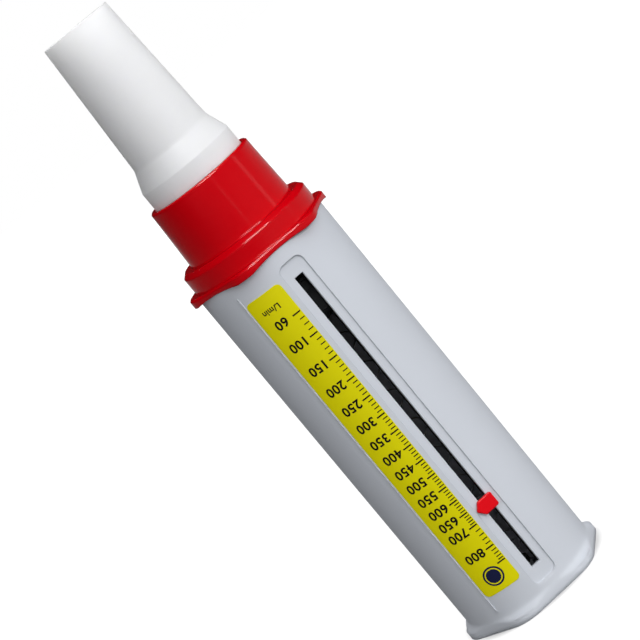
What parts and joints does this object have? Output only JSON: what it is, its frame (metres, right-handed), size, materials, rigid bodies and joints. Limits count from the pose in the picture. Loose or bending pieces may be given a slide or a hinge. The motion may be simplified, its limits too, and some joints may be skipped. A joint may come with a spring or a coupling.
{
  "type": "peak flow meter",
  "caption": "Handheld peak flow meter: tapered mouthpiece in a flanged inlet cap, round body with a sprung piston inside, and a pointer that slides in a front slot beside a printed scale.",
  "frame": {"origin": "centre of the base flange's underside, on the meter's long axis", "axes": "+Z along the meter towards the mouth end, -Y to the front with the pointer's slot, +X to the right seen from the front"},
  "size_m": [0.0484, 0.0444, 0.2039],
  "materials": {
    "white_plastic": "satin white",
    "red_cap": "glossy red",
    "body_grey": "smooth pale grey",
    "plug_grey": "smooth pale grey, slightly translucent",
    "label_film": "yellow film with a black printed scale",
    "rod_steel": "drawn rod",
    "clip_steel": "stamped",
    "screw_steel": "zinc plated",
    "black_plastic": "black, fine matte",
    "dark_plastic": "dark grey",
    "bush_plastic": "natural bearing plastic",
    "spring_steel": "bright wire",
    "cup_steel": "pressed sheet",
    "buffer_rubber": "soft black",
    "pointer_red": "glossy bright red",
    "felt": "dark felt"
  },
  "bodies": {
    "housing": {"body_shell": "body_grey", "base_cap": "plug_grey", "inlet_cap": "red_cap", "scale_label": "label_film", "guide_rod": "rod_steel", "rod_clip": "clip_steel", "rod_screw": "screw_steel", "rod_spider": "black_plastic", "rail_left": "black_plastic", "rail_right": "black_plastic", "home_buffer": "buffer_rubber", "end_buffer": "buffer_rubber", "spring_cup": "cup_steel", "return_spring": "spring_steel"},
    "piston": {"piston": "dark_plastic", "piston_bush": "bush_plastic", "pusher": "black_plastic"},
    "pointer": {"pointer": "pointer_red", "pointer_saddle": "black_plastic", "friction_pad": "felt"},
    "mouthpiece": {"mouthpiece": "white_plastic"}
  },
  "joints": [
    {"name": "piston_slide", "type": "slide", "parent": "housing", "child": "piston", "axis": [0, 0, -1], "range_m": [0, 0.094], "stiffness_N_per_m": 25, "springref_m": -0.012, "deforming": ["return_spring"]},
    {"name": "pointer_slide", "type": "slide", "parent": "housing", "child": "pointer", "axis": [0, 0, 1], "range_m": [-0.02, 0.08]},
    {"name": "mouthpiece_pull", "type": "slide", "parent": "housing", "child": "mouthpiece", "axis": [0, 0, 1], "range_m": [0, 0.03]}
  ]
}
